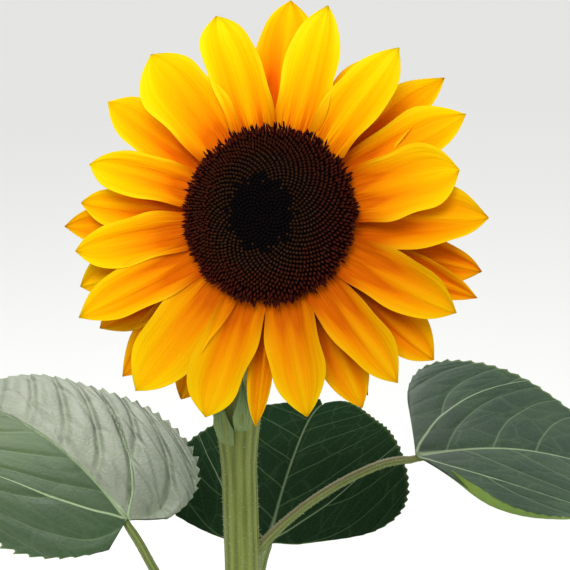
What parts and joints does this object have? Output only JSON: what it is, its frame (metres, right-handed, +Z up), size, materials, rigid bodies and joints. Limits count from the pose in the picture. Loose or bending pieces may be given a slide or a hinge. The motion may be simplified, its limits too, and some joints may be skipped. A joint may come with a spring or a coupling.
{
  "type": "sunflower plant",
  "caption": "Rooted sunflower plant with an upright stem, broad pointed leaves in a spiral and an open yellow flower head with a dark disc.",
  "frame": {"origin": "middle of the flat cut under the stem, at ground level", "axes": "+Z straight up from the ground, -Y the side that the flower head faces, +X to the right of someone who looks at the head"},
  "size_m": [0.5371, 0.5113, 0.9852],
  "materials": {
    "stem_green": "matt, ribbed, finely hairy",
    "leaf_green": "matt, rough to the touch",
    "bract_green": "matt, finely hairy",
    "ray_yellow": "soft satin",
    "disc_brown": "matt, granular"
  },
  "bodies": {
    "root": {"stem": "stem_green", "receptacle": "stem_green", "disc": "disc_brown", "ray_florets_front": "ray_yellow", "ray_florets_middle": "ray_yellow", "ray_florets_back": "ray_yellow", "bracts": "bract_green", "leaf_01": "leaf_green", "leaf_02": "leaf_green", "leaf_03": "leaf_green", "leaf_04": "leaf_green", "leaf_05": "leaf_green", "leaf_06": "leaf_green", "leaf_07": "leaf_green", "leaf_08": "leaf_green", "leaf_09": "leaf_green", "leaf_10": "leaf_green", "leaf_11": "leaf_green", "leaf_12": "leaf_green", "leaf_13": "leaf_green", "leaf_14": "leaf_green", "leaf_15": "leaf_green"}
  },
  "joints": []
}
